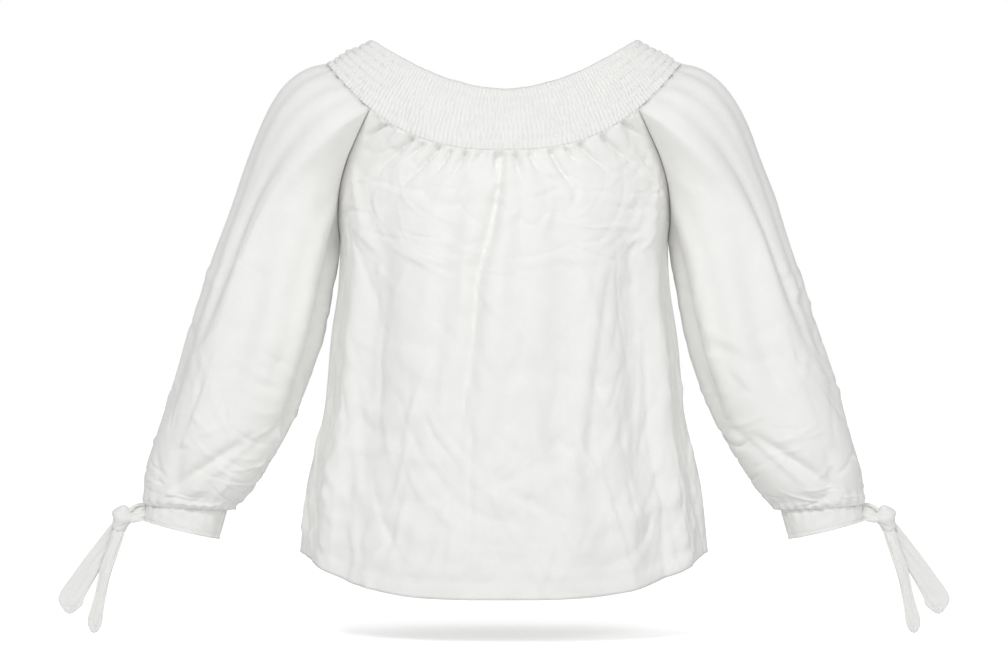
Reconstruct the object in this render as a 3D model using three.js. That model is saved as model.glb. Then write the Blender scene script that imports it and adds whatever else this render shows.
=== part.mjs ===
// Off-the-shoulder peasant blouse, filled out as if worn. Millimetres, +Z up, the front faces -Y, and the
// wearer's left side is +X. The origin is on the body's middle axis, at the height where the smocked yoke
// meets the tops of the sleeves.
//
// Each piece of cloth is a grid of points on its outer face. Pieces that are sewn together share the points
// of their seam. The inner face is the outer one moved in by the cloth's wall, and along a seam both pieces
// use the same mitred direction, so that they meet edge to edge with a small gap.
import * as THREE from 'three';

// ---------- cloth ----------
const WALL = 1.5;
const SEAM_GAP = 0.3;
const LONGEST_MITRE = 4 * WALL;
const STEEPEST_MITRE = 0.4;
const MITRE_ROUNDS = 4;

// ---------- yoke: a band between two rings round the shoulders ----------
// curve is the power with which a ring drops from its side to the middle of the front or back.
const NECK_RING = {
  halfWidth: 138, front: 98, back: 92, sideHeight: 27, frontHeight: -30, backHeight: -27, curve: 1.85,
};
const YOKE_RING = {
  halfWidth: 185, front: 118, back: 112, sideHeight: 2, frontHeight: -94, backHeight: -92, curve: 2.6,
};
const YOKE_ROWS = 4;
const YOKE_BULGE = 2.5;

// ---------- body: front and back panels ----------
// Angles are measured round the body from the middle of the front or back.
const RAGLAN_ANGLE = 48;
const RAGLAN_TOP = YOKE_RING.halfWidth * Math.sin(THREE.MathUtils.degToRad(RAGLAN_ANGLE));
const ARMPIT_HEIGHT = -184;
const CHEST_DIP = 44;
const HEM = { sideHeight: -508, middleHeight: -551, curve: 3.6 };
// station 0 is the yoke's edge, 1 the line through the armpits and 2 the hem. halfWidth is at the panel's
// edge, which lies edgeAngle round the body; front and back are the depths at the middle.
const BODY_SECTIONS = [
  { station: 0.0, halfWidth: RAGLAN_TOP, edgeAngle: RAGLAN_ANGLE, front: 118, back: 112 },
  { station: 0.2, halfWidth: 152, edgeAngle: 64, front: 122, back: 114 },
  { station: 0.37, halfWidth: 163, edgeAngle: 73, front: 125, back: 114 },
  { station: 0.57, halfWidth: 171, edgeAngle: 79, front: 127, back: 113 },
  { station: 0.82, halfWidth: 174, edgeAngle: 86, front: 129, back: 111 },
  { station: 1.0, halfWidth: 172, edgeAngle: 90, front: 130, back: 109 },
  { station: 1.15, halfWidth: 174, edgeAngle: 90, front: 130, back: 108 },
  { station: 1.3, halfWidth: 181, edgeAngle: 90, front: 128, back: 108 },
  { station: 1.55, halfWidth: 189, edgeAngle: 90, front: 125, back: 112 },
  { station: 1.78, halfWidth: 206, edgeAngle: 90, front: 124, back: 117 },
  { station: 2.0, halfWidth: 214, edgeAngle: 90, front: 125, back: 121 },
];
const PANEL_COLUMNS = 32;
const RAGLAN_ROWS = 6;
const SIDE_ROWS = 9;

// ---------- sleeves, for the wearer's left ----------
// Rings round the arm from just under the armpit to the cuff: middle, tilt of the ring with its outer end
// up, half width across the arm and half depth front to back.
const SLEEVE_SECTIONS = [
  { x: 238, y: -2, z: -205, tilt: 18, halfWidth: 64, halfDepth: 61 },
  { x: 258, y: -4, z: -275, tilt: 18, halfWidth: 69, halfDepth: 63 },
  { x: 283, y: -7, z: -351, tilt: 18, halfWidth: 66.5, halfDepth: 60 },
  { x: 306, y: -10, z: -405, tilt: 17, halfWidth: 59.5, halfDepth: 54 },
  { x: 323, y: -11, z: -440, tilt: 12, halfWidth: 54, halfDepth: 45 },
  { x: 331.5, y: -12, z: -461.5, tilt: 3, halfWidth: 42.5, halfDepth: 30 },
];
const CUFF_BOTTOM = { x: 337, y: -12, z: -485.5, tilt: 13.7, halfWidth: 40.2, halfDepth: 29 };
const CUFF_ROWS = 2;
const SHOULDER_COLUMNS = 10;
const SHOULDER_SPREAD = 60;
const SHOULDER_ROWS = 5;
const ROWS_PER_RING = 2;
// How far the sleeve's cloth sets out from the armhole, and comes in to its first ring, as parts of the
// distance between the two.
const PUFF_OUT = 0.3;
const PUFF_IN = 0.45;

// ---------- folds ----------
// across and toward are where a fold starts and ends, in parts of the panel's half width; from and to are
// stations. rise is in millimetres, out of the cloth: troughs are negative.
const FRONT_FOLDS = [
  { across: 0.0, toward: -0.1, from: 0.1, to: 1.6, halfWidth: 0.085, rise: -6 },
  { across: -0.56, toward: -0.57, from: 0.5, to: 2.3, halfWidth: 0.13, rise: -6 },
  { across: 0.57, toward: 0.56, from: 0.6, to: 2.4, halfWidth: 0.12, rise: -7 },
  { across: -0.24, toward: -0.2, from: 0.25, to: 1.9, halfWidth: 0.09, rise: -3.5 },
  { across: 0.26, toward: 0.19, from: 0.2, to: 1.7, halfWidth: 0.1, rise: -4 },
  { across: -0.12, toward: -0.33, from: 0.9, to: 1.7, halfWidth: 0.08, rise: 3 },
  { across: 0.5, toward: 0.3, from: 1.0, to: 1.75, halfWidth: 0.08, rise: -3.5 },
  { across: 0.86, toward: 0.8, from: 0.9, to: 2.2, halfWidth: 0.1, rise: -3 },
  { across: -0.84, toward: -0.8, from: 1.0, to: 2.3, halfWidth: 0.1, rise: -3 },
  { across: -0.55, toward: -0.62, from: 0.0, to: 0.32, halfWidth: 0.05, rise: -3 },
  { across: -0.36, toward: -0.42, from: 0.0, to: 0.45, halfWidth: 0.05, rise: -3.5 },
  { across: -0.22, toward: -0.26, from: 0.0, to: 0.3, halfWidth: 0.05, rise: -3 },
  { across: 0.3, toward: 0.37, from: 0.0, to: 0.5, halfWidth: 0.055, rise: -3.5 },
  { across: 0.5, toward: 0.58, from: 0.0, to: 0.35, halfWidth: 0.05, rise: -3 },
  { across: 0.68, toward: 0.8, from: 0.0, to: 0.4, halfWidth: 0.05, rise: -3 },
];
const BACK_FOLDS = [
  { across: 0.04, toward: 0.12, from: 0.1, to: 1.7, halfWidth: 0.1, rise: -5 },
  { across: -0.5, toward: -0.56, from: 0.4, to: 2.3, halfWidth: 0.13, rise: -6 },
  { across: 0.6, toward: 0.55, from: 0.5, to: 2.4, halfWidth: 0.12, rise: -6 },
  { across: -0.27, toward: -0.2, from: 0.2, to: 1.8, halfWidth: 0.1, rise: -4 },
  { across: 0.33, toward: 0.3, from: 0.9, to: 2.2, halfWidth: 0.09, rise: -3.5 },
  { across: 0.82, toward: 0.8, from: 1.0, to: 2.3, halfWidth: 0.1, rise: -3 },
  { across: -0.4, toward: -0.45, from: 0.0, to: 0.4, halfWidth: 0.05, rise: -3 },
  { across: 0.22, toward: 0.27, from: 0.0, to: 0.35, halfWidth: 0.05, rise: -3 },
  { across: 0.52, toward: 0.6, from: 0.0, to: 0.45, halfWidth: 0.05, rise: -3.5 },
];
// On a sleeve, across and toward are angles round the arm: 0 outside, 90 behind, 180 inside, 270 in front.
// Stations run from 0 at the armhole through 1 at the first ring.
const SLEEVE_FOLDS = [
  { across: 312, toward: 318, from: 0.35, to: 2.6, halfWidth: 22, rise: -5 },
  { across: 262, toward: 250, from: 0.5, to: 2.9, halfWidth: 20, rise: 3.5 },
  { across: 232, toward: 290, from: 3.3, to: 5.4, halfWidth: 22, rise: -4 },
  { across: 205, toward: 255, from: 3.0, to: 5.0, halfWidth: 22, rise: -4 },
  { across: 60, toward: 70, from: 0.4, to: 3.2, halfWidth: 24, rise: -5 },
  { across: 120, toward: 95, from: 2.6, to: 5.2, halfWidth: 24, rise: -4 },
  { across: 20, toward: 10, from: 2.2, to: 5.3, halfWidth: 20, rise: -3 },
];

// ---------- ties, for the wearer's left cuff ----------
const TIE_THICKNESS = 2;
const KNOT = { x: 400, y: -12, z: -474, halfWidth: 9.5, halfDepth: 9, halfLength: 14, tilt: 12 };
// Each strip follows its middle line; width is measured across it, in the plane of the front.
const TIE_STRIPS = {
  strap_front: [
    { x: 377.8, y: -14.6, z: -469.5, width: 12 },
    { x: 383, y: -15, z: -471, width: 14 },
    { x: 389.8, y: -14.4, z: -472.5, width: 12 },
  ],
  strap_back: [
    { x: 377.2, y: -9.4, z: -466.5, width: 11 },
    { x: 383, y: -9, z: -467, width: 12 },
    { x: 390.4, y: -9.6, z: -468.5, width: 10 },
  ],
  tail_wide: [
    { x: 405.8, y: -9.4, z: -486, width: 12 },
    { x: 418.5, y: -8.5, z: -504, width: 16 },
    { x: 432, y: -8, z: -523, width: 19 },
    { x: 443.5, y: -8, z: -541, width: 22 },
    { x: 453.3, y: -8.5, z: -558, width: 27.5 },
    { x: 455.6, y: -8.5, z: -567, width: 21 },
    { x: 456.4, y: -8.5, z: -575, width: 8 },
  ],
  tail_narrow: [
    { x: 402.1, y: -14.4, z: -487.9, width: 9 },
    { x: 407, y: -15.5, z: -503, width: 10 },
    { x: 416, y: -15.5, z: -529, width: 11.5 },
    { x: 421, y: -15, z: -552, width: 11 },
    { x: 425.5, y: -15, z: -570, width: 14.5 },
    { x: 428, y: -15, z: -584, width: 16 },
    { x: 428.6, y: -15, z: -593, width: 8 },
  ],
};

const COLOURS = { cloth: 0xe9e8e4, yoke: 0xe6e6e2 };

// ---------- small helpers ----------
const radians = THREE.MathUtils.degToRad;
const mix = THREE.MathUtils.lerp;
const vector = (x, y, z) => new THREE.Vector3(x, y, z);

// Every column of a table of sections at one value of its key, on a smooth curve through the rows.
function between(table, key, value) {
  const last = table.length - 1;
  let row = 0;
  while (row < last - 1 && value > table[row + 1][key]) {
    row += 1;
  }
  const [start, end] = [table[row], table[row + 1]];
  const span = end[key] - start[key];
  const t = THREE.MathUtils.clamp((value - start[key]) / span, 0, 1);
  const before = table[Math.max(row - 1, 0)];
  const after = table[Math.min(row + 2, last)];
  const result = {};
  for (const column of Object.keys(start)) {
    const slopeStart = (end[column] - before[column]) / (end[key] - before[key]) * span;
    const slopeEnd = (after[column] - start[column]) / (after[key] - start[key]) * span;
    result[column] = start[column] * (1 + 2 * t) * (1 - t) ** 2 + slopeStart * t * (1 - t) ** 2
      + end[column] * t * t * (3 - 2 * t) - slopeEnd * t * t * (1 - t);
  }
  return result;
}

// How far the folds lift the cloth at one place. wrap is the full turn of a tube, or Infinity on a panel.
function foldLift(folds, across, station, wrap) {
  let lift = 0;
  for (const fold of folds) {
    const run = (station - fold.from) / (fold.to - fold.from);
    if (run <= 0 || run >= 1) {
      continue;
    }
    let distance = Math.abs(across - mix(fold.across, fold.toward, run));
    distance = Math.min(distance, wrap - distance);
    if (distance < fold.halfWidth) {
      const flank = Math.cos(0.5 * Math.PI * distance / fold.halfWidth) ** 2;
      lift += fold.rise * flank * Math.sin(Math.PI * run) ** 0.6;
    }
  }
  return lift;
}

// ---------- forms ----------
// A ring round the shoulders: angle 0 is the middle of the front, 90 the wearer's left, 180 the back.
function ringPoint(ring, angle) {
  const across = Math.sin(radians(angle));
  const ahead = Math.cos(radians(angle));
  const middle = ahead > 0 ? ring.frontHeight : ring.backHeight;
  const drop = 1 - Math.abs(across) ** ring.curve;
  return vector(
    ring.halfWidth * across,
    -(ahead > 0 ? ring.front : ring.back) * ahead,
    mix(ring.sideHeight, middle, drop),
  );
}

function panelForm(isFront, station, turn) {
  const row = between(BODY_SECTIONS, 'station', station);
  const edge = radians(Math.min(row.edgeAngle, 90));
  const topAngle = turn * RAGLAN_ANGLE;
  const yokeHeight = ringPoint(YOKE_RING, isFront ? topAngle : 180 + topAngle).z;
  const chestHeight = ARMPIT_HEIGHT - CHEST_DIP * Math.cos(0.5 * Math.PI * turn) ** 2;
  const side = Math.abs(Math.sin(0.5 * Math.PI * turn));
  const hemHeight = mix(HEM.middleHeight, HEM.sideHeight, side ** HEM.curve);
  const facing = isFront ? 1 : -1;
  return vector(
    facing * row.halfWidth * Math.sin(turn * edge) / Math.sin(edge),
    -facing * (isFront ? row.front : row.back) * Math.cos(turn * edge),
    station < 1 ? mix(yokeHeight, chestHeight, station) : mix(chestHeight, hemHeight, station - 1),
  );
}

// A point of the form moved out by the folds, which fade away before a seam.
function foldedPoint(form, lift) {
  const step = 1e-3;
  const point = form(0, 0);
  if (lift === 0) {
    return point;
  }
  const along = form(step, 0).sub(form(-step, 0));
  const down = form(0, step).sub(form(0, -step));
  return point.addScaledVector(down.cross(along).normalize(), lift);
}

function panelPoint(isFront, station, turn) {
  const folds = isFront ? FRONT_FOLDS : BACK_FOLDS;
  const edgeFade = Math.min(1, (1 - Math.abs(turn)) / 0.15);
  const lift = edgeFade * foldLift(folds, turn, station, Infinity);
  return foldedPoint((a, d) => panelForm(isFront, station + d, turn + a), lift);
}

// The left armhole, once round: over the shoulder along the yoke from front to back, down the back raglan
// seam to the armpit and up the front one. Each stop has its place round the arm.
function armholeStops() {
  const stops = [];
  for (let i = 0; i <= SHOULDER_COLUMNS; i += 1) {
    const over = i / SHOULDER_COLUMNS;
    const angle = mix(RAGLAN_ANGLE, 180 - RAGLAN_ANGLE, over);
    stops.push({ around: mix(-SHOULDER_SPREAD, SHOULDER_SPREAD, over), point: ringPoint(YOKE_RING, angle) });
  }
  for (let i = 1; i < 2 * RAGLAN_ROWS; i += 1) {
    const isFront = i > RAGLAN_ROWS;
    const station = (isFront ? 2 * RAGLAN_ROWS - i : i) / RAGLAN_ROWS;
    const around = mix(SHOULDER_SPREAD, 360 - SHOULDER_SPREAD, i / (2 * RAGLAN_ROWS));
    stops.push({ around, point: panelForm(isFront, station, isFront ? 1 : -1) });
  }
  return stops;
}

function armRing(section, around) {
  const [across, behind] = [Math.cos(radians(around)), Math.sin(radians(around))];
  const tilt = radians(section.tilt);
  return vector(
    section.x + section.halfWidth * across * Math.cos(tilt),
    section.y + section.halfDepth * behind,
    section.z + section.halfWidth * across * Math.sin(tilt),
  );
}

const SLEEVE_STATIONS = SLEEVE_SECTIONS.map((section, i) => ({ ...section, station: i + 1 }));

// Station 0 is the armhole. Up to station 1 the cloth springs from it to the first ring on a Bezier curve.
function sleeveForm(stop, station, turned) {
  const around = stop.around + turned;
  if (station >= 1) {
    return armRing(between(SLEEVE_STATIONS, 'station', station), around);
  }
  const [across, behind] = [Math.cos(radians(stop.around)), Math.sin(radians(stop.around))];
  const ring = armRing(SLEEVE_SECTIONS[0], around);
  const next = armRing(between(SLEEVE_STATIONS, 'station', 1.1), around);
  const reach = ring.distanceTo(stop.point);
  const leaving = vector(0.55 + 0.45 * across - 0.2 * behind * behind, 0.55 * behind, -0.55 + 0.5 * across);
  const arriving = ring.clone().sub(next).normalize();
  const curve = new THREE.CubicBezierCurve3(
    stop.point,
    stop.point.clone().addScaledVector(leaving.normalize(), PUFF_OUT * reach),
    ring.clone().addScaledVector(arriving, PUFF_IN * reach),
    ring,
  );
  return curve.getPoint(Math.max(station, 0));
}

function sleevePoint(stop, station, lastStation) {
  const fade = Math.min(1, station / 0.3, (lastStation - station) / 0.3);
  const around = (stop.around + 360) % 360;
  const lift = fade * foldLift(SLEEVE_FOLDS, around, station, 360);
  return foldedPoint((a, d) => sleeveForm(stop, station + d, 40 * a), lift);
}

// ---------- pieces as grids of outer points, rows running down and columns round to the left ----------
function makeGrid(name, rows, columns, isTube, pointAt) {
  const grid = { name, rows, columns, isTube, points: [] };
  for (let row = 0; row < rows; row += 1) {
    for (let column = 0; column < columns; column += 1) {
      grid.points.push(pointAt(row, column));
    }
  }
  return grid;
}

function mirrored(grid, name) {
  return makeGrid(name, grid.rows, grid.columns, grid.isTube, (row, column) => {
    const source = grid.points[row * grid.columns + (grid.columns - column) % grid.columns];
    return vector(-source.x, source.y, source.z);
  });
}

function yokeGrid() {
  const angles = [];
  for (let i = 0; i < PANEL_COLUMNS; i += 1) {
    angles.push(mix(-RAGLAN_ANGLE, RAGLAN_ANGLE, i / PANEL_COLUMNS));
  }
  for (let i = 0; i < SHOULDER_COLUMNS; i += 1) {
    angles.push(mix(RAGLAN_ANGLE, 180 - RAGLAN_ANGLE, i / SHOULDER_COLUMNS));
  }
  const halfRound = angles.slice();
  for (const angle of halfRound) {
    angles.push(angle + 180);
  }
  return makeGrid('smocked_yoke', YOKE_ROWS + 1, angles.length, true, (row, column) => {
    const down = row / YOKE_ROWS;
    const top = ringPoint(NECK_RING, angles[column]);
    const point = top.clone().lerp(ringPoint(YOKE_RING, angles[column]), down);
    const outward = vector(point.x, point.y, 0).normalize();
    return point.addScaledVector(outward, YOKE_BULGE * Math.sin(Math.PI * down));
  });
}

function panelGrid(name, isFront) {
  const rows = RAGLAN_ROWS + SIDE_ROWS + 1;
  return makeGrid(name, rows, PANEL_COLUMNS + 1, false, (row, column) => {
    const station = row <= RAGLAN_ROWS ? row / RAGLAN_ROWS : 1 + (row - RAGLAN_ROWS) / SIDE_ROWS;
    return panelPoint(isFront, station, 2 * column / PANEL_COLUMNS - 1);
  });
}

function sleeveGrid(name, stops) {
  const rings = SLEEVE_SECTIONS.length;
  const rows = SHOULDER_ROWS + (rings - 1) * ROWS_PER_RING + 1;
  return makeGrid(name, rows, stops.length, true, (row, column) => {
    const station = row <= SHOULDER_ROWS ? row / SHOULDER_ROWS : 1 + (row - SHOULDER_ROWS) / ROWS_PER_RING;
    return sleevePoint(stops[column], station, rings);
  });
}

function cuffGrid(name, stops) {
  const cuffTop = SLEEVE_SECTIONS[SLEEVE_SECTIONS.length - 1];
  return makeGrid(name, CUFF_ROWS + 1, stops.length, true, (row, column) => {
    const { around } = stops[column];
    return armRing(cuffTop, around).lerp(armRing(CUFF_BOTTOM, around), row / CUFF_ROWS);
  });
}

// ---------- sewing ----------
// The four points round one cell of a grid, or null past its edge.
function cellCorners(grid, row, column) {
  const right = grid.isTube ? (column + 1) % grid.columns : column + 1;
  if (row + 1 >= grid.rows || right >= grid.columns) {
    return null;
  }
  const [top, bottom] = [row * grid.columns, (row + 1) * grid.columns];
  return [top + column, bottom + column, bottom + right, top + right];
}

function addNormals(grid) {
  grid.normals = grid.points.map(() => vector(0, 0, 0));
  for (let row = 0; row < grid.rows; row += 1) {
    for (let column = 0; column < grid.columns; column += 1) {
      const corners = cellCorners(grid, row, column);
      if (corners) {
        const [a, b, c, d] = corners.map((index) => grid.points[index]);
        const normal = c.clone().sub(a).cross(d.clone().sub(b)).normalize();
        corners.forEach((index) => grid.normals[index].add(normal));
      }
    }
  }
  grid.normals.forEach((normal) => normal.normalize());
}

// The edge points of a grid, each with its neighbours along the edge and the steps that lead into the piece.
function edgePoints(grid) {
  const found = [];
  const at = (row, column) => row * grid.columns + (column + grid.columns) % grid.columns;
  for (let row = 0; row < grid.rows; row += 1) {
    for (let column = 0; column < grid.columns; column += 1) {
      const inward = [];
      if (row === 0 || row === grid.rows - 1) {
        const isCorner = !grid.isTube && (column === 0 || column === grid.columns - 1);
        const before = isCorner && column === 0 ? column : column - 1;
        const after = isCorner && column > 0 ? column : column + 1;
        inward.push({ to: at(row === 0 ? 1 : row - 1, column), along: [at(row, before), at(row, after)] });
      }
      if (!grid.isTube && (column === 0 || column === grid.columns - 1)) {
        const [before, after] = [Math.max(row - 1, 0), Math.min(row + 1, grid.rows - 1)];
        const next = column === 0 ? 1 : column - 1;
        inward.push({ to: at(row, next), along: [at(before, column), at(after, column)] });
      }
      if (inward.length) {
        found.push({ grid, index: at(row, column), inward });
      }
    }
  }
  return found;
}

// The step from the outer to the inner face that keeps the wall for every piece that meets here.
function mitre(normals) {
  const step = vector(0, 0, 0);
  for (let round = 0; round < MITRE_ROUNDS; round += 1) {
    for (const normal of normals) {
      step.addScaledVector(normal, WALL - step.dot(normal));
    }
  }
  return step.clampLength(0, LONGEST_MITRE);
}

// Gives every grid its inner points, mitres the shared ones and opens the seams by their gap.
function sew(grids) {
  grids.forEach(addNormals);
  for (const grid of grids) {
    grid.steps = grid.normals.map((normal) => normal.clone().multiplyScalar(WALL));
    grid.shifts = grid.points.map(() => vector(0, 0, 0));
  }
  const edges = grids.flatMap(edgePoints);
  for (const edge of edges) {
    const place = edge.grid.points[edge.index];
    const meeting = edges.filter((other) => other.grid.points[other.index].distanceTo(place) < 0.01);
    if (meeting.length < 2) {
      continue;
    }
    const step = mitre(meeting.map((other) => other.grid.normals[other.index]));
    edge.grid.steps[edge.index] = step;
    for (const { to, along } of edge.inward) {
      const [before, after] = along.map((index) => edge.grid.points[index]);
      const isSewn = [before, after].some((point) => edges.some((other) => other.grid !== edge.grid
        && other.grid.points[other.index].distanceTo(point) < 0.01
        && point !== place));
      if (!isSewn) {
        continue;
      }
      const seam = after.clone().sub(before).normalize();
      const inside = edge.grid.points[to].clone().sub(place);
      const away = seam.clone().cross(step.clone().normalize());
      if (away.length() < STEEPEST_MITRE) {
        away.copy(inside).addScaledVector(seam, -inside.dot(seam));
      }
      away.setLength(Math.sign(away.dot(inside)) * SEAM_GAP / 2);
      edge.grid.shifts[edge.index].add(away);
    }
  }
}

function thickened(grid) {
  const outer = grid.points.map((point, i) => point.clone().add(grid.shifts[i]));
  const inner = outer.map((point, i) => point.clone().sub(grid.steps[i]));
  const count = outer.length;
  const triangles = [];
  const addQuad = (a, b, c, d) => triangles.push(a, b, c, a, c, d);
  const lastColumn = grid.isTube ? grid.columns : grid.columns - 1;
  for (let row = 0; row < grid.rows - 1; row += 1) {
    for (let column = 0; column < lastColumn; column += 1) {
      const [a, b, c, d] = cellCorners(grid, row, column);
      addQuad(a, b, c, d);
      addQuad(count + d, count + c, count + b, count + a);
      if (row === 0) {
        addQuad(a, d, count + d, count + a);
      }
      if (row === grid.rows - 2) {
        addQuad(c, b, count + b, count + c);
      }
      if (!grid.isTube && column === 0) {
        addQuad(b, a, count + a, count + b);
      }
      if (!grid.isTube && column === grid.columns - 2) {
        addQuad(d, c, count + c, count + d);
      }
    }
  }
  const geometry = new THREE.BufferGeometry().setFromPoints([...outer, ...inner]);
  geometry.setIndex(triangles);
  return geometry;
}

// ---------- ties ----------
// A flat strip: four corners at each station, with closed ends. side is 1 for the left cuff, -1 for the right.
function stripGeometry(stations, side) {
  const middles = stations.map(({ x, y, z }) => vector(side * x, y, z));
  const corners = [];
  stations.forEach(({ width }, i) => {
    const before = middles[Math.max(i - 1, 0)];
    const after = middles[Math.min(i + 1, middles.length - 1)];
    const across = after.clone().sub(before).cross(vector(0, 1, 0)).setLength(width / 2);
    const through = vector(0, TIE_THICKNESS / 2, 0);
    for (const [a, t] of [[-1, -1], [1, -1], [1, 1], [-1, 1]]) {
      corners.push(middles[i].clone().addScaledVector(across, a).addScaledVector(through, t));
    }
  });
  const triangles = [];
  for (let i = 0; i < stations.length - 1; i += 1) {
    for (let k = 0; k < 4; k += 1) {
      const [a, b] = [4 * i + k, 4 * i + (k + 1) % 4];
      triangles.push(a, a + 4, b + 4, a, b + 4, b);
    }
  }
  const last = 4 * (stations.length - 1);
  triangles.push(0, 1, 2, 0, 2, 3, last, last + 2, last + 1, last, last + 3, last + 2);
  const geometry = new THREE.BufferGeometry().setFromPoints(corners);
  geometry.setIndex(triangles);
  return geometry;
}

function knotGeometry() {
  return new THREE.SphereGeometry(1, 12, 8).rotateX(Math.PI / 2)
    .scale(KNOT.halfWidth, KNOT.halfDepth, KNOT.halfLength);
}

// ---------- the garment ----------
function clothMesh(name, geometry, colour) {
  const material = new THREE.MeshStandardMaterial({ color: colour, roughness: 0.9, metalness: 0 });
  const mesh = new THREE.Mesh(geometry, material);
  mesh.name = name;
  return mesh;
}

function makeTie(wearerSide, side) {
  const tie = new THREE.Group();
  for (const [piece, stations] of Object.entries(TIE_STRIPS)) {
    tie.add(clothMesh(`tie_${piece}_${wearerSide}`, stripGeometry(stations, side), COLOURS.cloth));
  }
  const knot = clothMesh(`tie_knot_${wearerSide}`, knotGeometry(), COLOURS.cloth);
  knot.position.set(side * KNOT.x, KNOT.y, KNOT.z);
  knot.rotation.y = side * -radians(KNOT.tilt);
  tie.add(knot);
  return tie;
}

function makeBlouse() {
  const stops = armholeStops();
  const leftSleeve = sleeveGrid('sleeve_left', stops);
  const leftCuff = cuffGrid('cuff_left', stops);
  const grids = [
    yokeGrid(),
    panelGrid('front_panel', true),
    panelGrid('back_panel', false),
    leftSleeve,
    mirrored(leftSleeve, 'sleeve_right'),
    leftCuff,
    mirrored(leftCuff, 'cuff_right'),
  ];
  sew(grids);
  const blouse = new THREE.Group();
  for (const grid of grids) {
    const colour = grid.name === 'smocked_yoke' ? COLOURS.yoke : COLOURS.cloth;
    blouse.add(clothMesh(grid.name, thickened(grid), colour));
  }
  blouse.add(makeTie('left', 1), makeTie('right', -1));
  return blouse;
}

export default makeBlouse();
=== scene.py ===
"""Off-the-shoulder smocked blouse, filled out as if worn: cloth, stitches, finish, floor, light and camera."""
import math
import bpy
import numpy as np
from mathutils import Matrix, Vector


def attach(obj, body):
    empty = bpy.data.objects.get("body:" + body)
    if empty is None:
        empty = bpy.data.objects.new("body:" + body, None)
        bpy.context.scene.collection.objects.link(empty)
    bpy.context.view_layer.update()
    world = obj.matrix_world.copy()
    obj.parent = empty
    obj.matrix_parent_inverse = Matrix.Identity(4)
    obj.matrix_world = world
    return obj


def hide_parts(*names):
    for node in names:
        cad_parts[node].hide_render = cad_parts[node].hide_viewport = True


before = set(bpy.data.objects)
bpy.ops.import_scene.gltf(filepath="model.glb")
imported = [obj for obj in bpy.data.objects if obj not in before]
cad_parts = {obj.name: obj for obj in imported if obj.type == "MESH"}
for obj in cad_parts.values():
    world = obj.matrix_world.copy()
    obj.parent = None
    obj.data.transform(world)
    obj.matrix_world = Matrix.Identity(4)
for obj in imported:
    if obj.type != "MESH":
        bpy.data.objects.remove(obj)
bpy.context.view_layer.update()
MM = 0.001
SHELL = 0.7  # millimetres of cloth

# ---------- form, in millimetres: the same rings and sections as the CAD model ----------
NECK = dict(half_width=138, front=98, back=92, side=27, middle_front=-30, middle_back=-27, curve=1.85)
YOKE = dict(half_width=185, front=118, back=112, side=2, middle_front=-94, middle_back=-92, curve=2.6)
RAGLAN = math.radians(48)
ARMPIT_HEIGHT = -184
CHEST_DIP = 44
HEM_MIDDLE = -551
HEM_SIDE = -508
HEM_CURVE = 3.6
BODY = dict(
    station=[0, 0.2, 0.37, 0.57, 0.82, 1, 1.15, 1.3, 1.55, 1.78, 2],
    half_width=[185 * math.sin(RAGLAN), 152, 163, 171, 174, 172, 174, 181, 189, 206, 214],
    edge_angle=[48, 64, 73, 79, 86, 90, 90, 90, 90, 90, 90],
    front=[118, 122, 125, 127, 129, 130, 130, 128, 125, 124, 125],
    back=[112, 114, 114, 113, 111, 109, 108, 108, 112, 117, 121],
)
SLEEVE = dict(
    station=[1, 2, 3, 4, 5, 6],
    x=[238, 258, 283, 306, 323, 331.5],
    y=[-2, -4, -7, -10, -11, -12],
    z=[-205, -275, -351, -405, -440, -461.5],
    tilt=[18, 18, 18, 17, 12, 3],
    half_width=[64, 69, 66.5, 59.5, 54, 42.5],
    half_depth=[61, 63, 60, 54, 45, 30],
)
CUFF_BOTTOM = dict(x=337, y=-12, z=-485.5, tilt=13.7, half_width=40.2, half_depth=29)
SHOULDER_SPREAD = 60
PUFF_OUT = 0.3
PUFF_IN = 0.45

# ---------- smocking ----------
PLEATS = 236
ELASTIC_ROWS = 7
PLEAT_DEPTH = 1.1
ROW_PINCH = 0.9
ROW_DRIFT = 2.2  # radians that the pleats' wander moves on from one row to the next

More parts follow.
